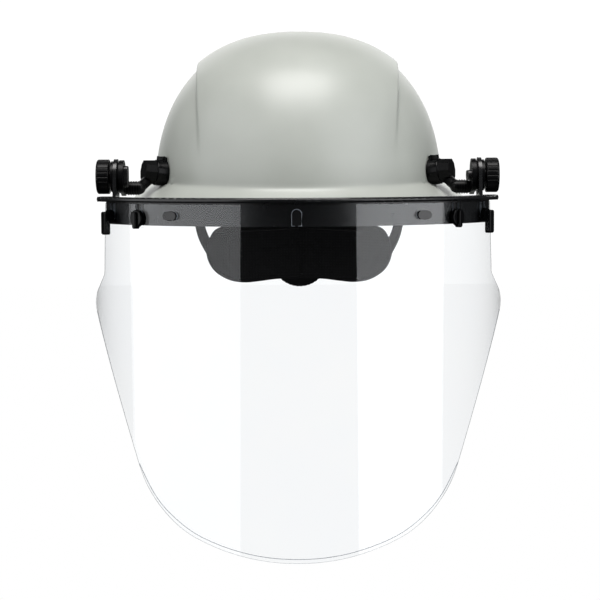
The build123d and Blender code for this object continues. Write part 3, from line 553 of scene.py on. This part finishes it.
def inflate(piece, voxel, pressure, most):
    """Remesh the piece, let cloth under pressure swell it a little, and keep the result."""
    remesh = piece.modifiers.new("remesh", "REMESH")
    remesh.mode = "VOXEL"
    remesh.voxel_size = voxel * MM
    apply_modifiers(piece)
    start = [v.co.copy() for v in piece.data.vertices]
    cloth = piece.modifiers.new("cloth", "CLOTH")
    cloth.settings.use_pressure = True
    cloth.settings.uniform_pressure_force = pressure
    cloth.settings.tension_stiffness = CLOTH_STIFFNESS
    cloth.settings.compression_stiffness = CLOTH_STIFFNESS
    cloth.settings.effector_weights.gravity = 0
    cloth.point_cache.frame_start, cloth.point_cache.frame_end = 1, CLOTH_FRAMES
    for step in range(1, CLOTH_FRAMES + 1):
        bpy.context.scene.frame_set(step)
    apply_modifiers(piece)
    bpy.context.scene.frame_set(1)
    for vertex, rest in zip(piece.data.vertices, start):
        move = vertex.co - rest
        if move.length > most * MM:
            vertex.co = rest + move.normalized() * most * MM
    finer = piece.modifiers.new("finer", "SUBSURF")
    finer.levels = finer.render_levels = 1
    apply_modifiers(piece)
    piece.data.polygons.foreach_set("use_smooth", [True] * len(piece.data.polygons))


def groove(piece, line, width, depth):
    """A sewn channel: points near the line, on the side towards the head, are drawn into the cushion."""
    for vertex in piece.data.vertices:
        x, z = vertex.co.x / MM, vertex.co.z / MM
        near = min(((x - q.x) ** 2 + (z - q.y) ** 2) for q in line) ** 0.5
        if near < width and vertex.co.y < nape_place(x, z, PAD_GAP + PAD_DEEP / 2).y * MM:
            vertex.co.y += depth * MM * ease(1 - near / width)


def tube(name, line, radius, material, closed, sides=8):
    """A round cord along a line of points in millimetres."""
    count = len(line)
    points = []
    for i, p in enumerate(line):
        before = line[i - 1] if closed or i else line[0]
        after = line[(i + 1) % count] if closed or i < count - 1 else line[-1]
        along = (after - before).normalized()
        upright = abs(along.z) > ALMOST_ONE
        side = (along.orthogonal() if upright else along.cross(Vector((0, 0, 1)))).normalized()
        up = side.cross(along)
        turns = [2 * pi * k / sides for k in range(sides)]
        points += [p + radius * (side * cos(turn) + up * sin(turn)) for turn in turns]
    faces = grid_faces(count, sides, True)
    if closed:
        last = (count - 1) * sides
        faces += [(last + k, last + (k + 1) % sides, (k + 1) % sides, k) for k in range(sides)]
    return mesh_object(name, points, faces, [material])


def stitches(name, line, long, gap, radius):
    """A run of separate stitches lying along a line of points."""
    points, faces, due, drawn = [], [], 0.0, 0.0
    turns = [2 * pi * k / STITCH_SIDES for k in range(STITCH_SIDES)]
    start = line[0]
    for p, q in zip(line, line[1:]):
        drawn += (q - p).length
        if drawn >= due + long:
            along = (q - start).normalized()
            side = along.cross(Vector((0, 0, 1))).normalized()
            up = side.cross(along)
            base = len(points)
            for share, thick in STITCH_SHAPE:
                middle, r = start.lerp(q, share), radius * thick
                points += [middle + r * (side * cos(turn) + up * sin(turn)) for turn in turns]
            faces += grid_faces(len(STITCH_SHAPE), STITCH_SIDES, True, base)
            due = drawn + gap
        if drawn >= due and drawn - (q - p).length < due:
            start = q
    return mesh_object(name, points, faces, [MATERIALS["strap_webbing"]])


def nape_pad():
    """Two-lobed knitted cushion inside the nape band, piped round its edge and sewn down the middle."""
    edge = pad_outline()
    centre = Vector((0, PAD_MIDDLE_Z))
    points, faces = cushion_rings(edge, centre, PAD_DEEP, nape_place)
    pad = mesh_object("nape_cushion", points, faces, [MATERIALS["pad_fabric"]])
    inflate(pad, voxel=2.2, pressure=3.0, most=0.9)
    groove(pad, [Vector((0, z)) for z in range(*MIDDLE_GROOVE)], *MIDDLE_CUT)
    for s in (1, -1):
        lobe = [Vector((s * x, LOBE_GROOVE_Z - LOBE_GROOVE_FALL * x)) for x in range(*LOBE_GROOVE)]
        groove(pad, lobe, *LOBE_CUT)
    settle(pad, "hat", "pad_fabric", "nape_pad")
    rim = [nape_place(p.x, p.y, PAD_GAP + PAD_DEEP / 2) for p in edge]
    piping = tube("nape_cushion_piping", rim, PIPING_R, MATERIALS["pad_fabric"], True)
    settle(piping, "hat", "pad_fabric")
    inwards = PAD_GAP + PAD_DEEP * SEAM_DEEP
    seam = [nape_place(p.x * SEAM_WIDE, centre.y + (p.y - centre.y) * SEAM_TALL, inwards) for p in edge]
    thread = stitches("nape_cushion_stitching", seam + seam[:1], long=2.2, gap=1.2, radius=0.28)
    settle(thread, "hat", "strap_webbing")


def brow_place(along, z, inwards):
    """A point on the brow pad's curve: along is the angle from straight ahead."""
    return Vector(((BROW_X - inwards) * sin(along), -(BROW_Y - inwards) * cos(along), BROW_MIDDLE_Z + z))


def brow_pad():
    """Sweatband: a knitted cushion along the inside of the headband's front, stitched along both edges."""
    steps, rings = BROW_STEPS, BROW_RINGS
    along = [-BROW_END + 2 * BROW_END * i / steps for i in range(steps + 1)]
    flat = [Vector((angle, -BROW_HALF_TALL)) for angle in along]
    flat += [Vector((-angle, BROW_HALF_TALL)) for angle in along]
    points, faces = [], []
    around = len(flat)
    for face_side in (0, 1):
        for j in range(rings):
            swell = BROW_DEEP * (BROW_RIM + BROW_SWELL * sin(pi / 2 * j / (rings - 1)))
            inwards = BROW_DEEP / 2 + (swell / 2 if face_side else -swell / 2) + BROW_GAP
            points += [brow_place(p.x, p.y * (1 - j / rings), inwards) for p in flat]
    inner = rings * around
    faces += grid_faces(rings, around, True)
    faces += [tuple(reversed(face)) for face in grid_faces(rings, around, True, inner)]
    faces += [(i, inner + i, inner + (i + 1) % around, (i + 1) % around) for i in range(around)]
    for first in ((rings - 1) * around, inner + (rings - 1) * around):
        for i in range(steps):
            quad = (first + i, first + i + 1, first + around - 2 - i, first + around - 1 - i)
            faces.append(quad if first < inner else tuple(reversed(quad)))
    pad = mesh_object("brow_sweatband", points, faces, [MATERIALS["pad_fabric"]])
    inflate(pad, voxel=2.6, pressure=2.0, most=1.0)
    settle(pad, "hat", "pad_fabric", "brow_pad")
    for name, z in (("upper", BROW_SEAM_Z), ("lower", -BROW_SEAM_Z)):
        angles = [BROW_SEAM_END * (i / steps - 1) for i in range(2 * steps + 1)]
        seam = [brow_place(angle, z, BROW_DEEP + BROW_SEAM_IN) for angle in angles]
        thread = stitches(f"brow_stitching_{name}", seam, long=2.4, gap=1.3, radius=0.3)
        settle(thread, "hat", "strap_webbing")


# ---------------------------------------------------------------- crown straps
def crown_strap(name, angle, lift):
    """Woven strap over the head, a little thinner towards its edges."""
    long, wide, half = STRAP_LONG_STEPS, STRAP_WIDE_STEPS, STRAP_WIDE / 2
    c, s = cos(radians(angle)), sin(radians(angle))
    points, spots = [], []
    for side in (0, 1):
        for i in range(long + 1):
            t = pi * i / long
            for j in range(wide + 1):
                across = -half + STRAP_WIDE * j / wide
                edge = 1 - abs(across / half) ** STRAP_EDGE_POWER
                thick = STRAP_EDGE_THICK + (1 - STRAP_EDGE_THICK) * edge
                thick *= (STRAP_THICK / 2 - STRAP_TRIM) * (1 if side else -1)
                r, up = STRAP_R + thick, STRAP_RISE + lift + STRAP_THICK / 2 + thick
                x, z = r * cos(t), STRAP_FOOT + up * sin(t)
                points.append(Vector((x * c - across * s, x * s + across * c, z)))
                spots.append((STRAP_R * t * MM * STRAP_UV_STRETCH, across * MM))
    rows, columns = long + 1, wide + 1
    inner = rows * columns
    faces = grid_faces(rows, columns, False)
    faces += [tuple(reversed(face)) for face in grid_faces(rows, columns, False, inner)]
    rim = ([i * columns for i in range(rows)] + [(rows - 1) * columns + j for j in range(1, columns)]
           + [i * columns + wide for i in range(rows - 2, -1, -1)] + [j for j in range(wide - 1, 0, -1)])
    faces += [(a, inner + a, inner + b, b) for a, b in zip(rim, rim[1:] + rim[:1])]
    strap = mesh_object(name, points, faces, [MATERIALS["strap_webbing"]])
    layer = strap.data.uv_layers.new(name="strap")
    for loop in strap.data.loops:
        layer.data[loop.index].uv = spots[loop.vertex_index]
    settle(strap, "hat", "strap_webbing", name.replace("webbing", "strap"))


# ---------------------------------------------------------------- stage, lights and camera
# Distances from here on are in metres, the lens and its sensor in millimetres.
FLOOR_SIZE, FLOOR_DROP = 30, 0.9
SEEN_STRENGTH, DIM_STRENGTH = 1.05, 0.035
COOL, WARM, WHITE = (0.97, 0.98, 1.0), (1.0, 0.98, 0.97), (1, 1, 1)
# Name, azimuth from straight ahead, distance, height of its centre, its width and height, watts, colour
PANELS = [("panel_right_side", -63.7, 1.7, 0.25, 2.44, 2.0, 26.0, COOL),
          ("panel_left_side", 55.2, 1.7, 0.25, 1.68, 2.0, 28.8, COOL),
          ("panel_overhead", 0, 0.55, 1.5, 1.3, 0.9, 33, WARM),
          ("panel_behind", 180, 1.9, 0.7, 2.2, 1.2, 12, WHITE)]
CAMERA_DISTANCE = 1.2
CAMERA_ASIDE = 0.008       # towards the wearer's left
CAMERA_RISE = 0.020        # above the shelf
CAMERA_LENS, CAMERA_SENSOR = 98.6, 36
CAMERA_DOWN, CAMERA_TURN, CAMERA_ROLL = 4.59, 0.348, -0.3
SHELF_Z = 0.014


def floor():
    """Plain pale floor, well under the shield, which is held up by the head."""
    window_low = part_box("visor_window")[0]
    mat, tree, _ = new_material("studio_floor_white")
    glow = add(tree, "ShaderNodeEmission", Strength=1.0)
    tree.links.new(glow.outputs["Emission"], tree.nodes["Material Output"].inputs["Surface"])
    bpy.ops.mesh.primitive_plane_add(size=FLOOR_SIZE, location=(0, 0, window_low.z - FLOOR_DROP))
    plane = bpy.context.object
    plane.name = "studio_floor"
    plane.data.materials.append(mat)
    plane.visible_glossy = False
    plane.visible_diffuse = False


def world():
    """White all round for what the eye sees, dim for what surfaces reflect and gather."""
    made = bpy.data.worlds.new("studio")
    bpy.context.scene.world = made
    made.use_nodes = True
    tree = made.node_tree
    seen = tree.nodes["Background"]
    seen.inputs["Color"].default_value = (1, 1, 1, 1)
    seen.inputs["Strength"].default_value = SEEN_STRENGTH
    dim = add(tree, "ShaderNodeBackground", Color=(0.97, 0.985, 1, 1), Strength=DIM_STRENGTH)
    path = add(tree, "ShaderNodeLightPath")
    either = maths(tree, "MAXIMUM", path.outputs["Is Camera Ray"], path.outputs["Is Transmission Ray"])
    mix = add(tree, "ShaderNodeMixShader")
    tree.links.new(either, mix.inputs["Fac"])
    tree.links.new(dim.outputs["Background"], mix.inputs[1])
    tree.links.new(seen.outputs["Background"], mix.inputs[2])
    tree.links.new(mix.outputs["Shader"], tree.nodes["World Output"].inputs["Surface"])


def softbox(name, azimuth, distance, centre_z, width, height, watts, colour):
    """A soft panel facing the hat. Azimuth is from straight ahead of the wearer towards +X."""
    a = radians(azimuth)
    data = bpy.data.lights.new(name, "AREA")
    data.shape = "RECTANGLE"
    data.size, data.size_y = width, height
    data.energy = watts
    data.color = colour
    lamp = bpy.data.objects.new(name, data)
    lamp.location = (distance * sin(a), -distance * cos(a), centre_z)
    lamp.rotation_euler = (-lamp.location).to_track_quat("-Z", "Y").to_euler()
    lamp.visible_camera = False
    lamp.visible_transmission = False
    bpy.context.collection.objects.link(lamp)


def lights():
    """Two side panels in front of the wearer with a dark gap between, one panel overhead, one behind."""
    for panel in PANELS:
        softbox(*panel)


def camera():
    """Nearly straight ahead of the wearer, just above the shelf's height, tipped a little down."""
    data = bpy.data.cameras.new("view")
    data.lens = CAMERA_LENS
    data.sensor_width = CAMERA_SENSOR
    eye = bpy.data.objects.new("view", data)
    eye.location = (CAMERA_ASIDE, -CAMERA_DISTANCE, SHELF_Z + CAMERA_RISE)
    eye.rotation_euler = Euler((radians(90 - CAMERA_DOWN), 0, radians(CAMERA_TURN)), "XYZ")
    eye.rotation_euler.rotate_axis("Z", radians(CAMERA_ROLL))
    bpy.context.collection.objects.link(eye)
    bpy.context.scene.camera = eye


# ---------------------------------------------------------------- build
bpy.context.scene.view_settings.view_transform = VIEW_TRANSFORM
camera()
dress_cad_nodes()
hat_shell()
window_sheet()
centre_slot_lip_painted_glint()
bevel_painted_line()
ratchet_grip()
nape_pad()
brow_pad()
crown_strap("crown_webbing_lower", SOCKET_ANGLES[0], 0)
crown_strap("crown_webbing_upper", SOCKET_ANGLES[1], STRAP_CROSSING)
floor()
world()
lights()
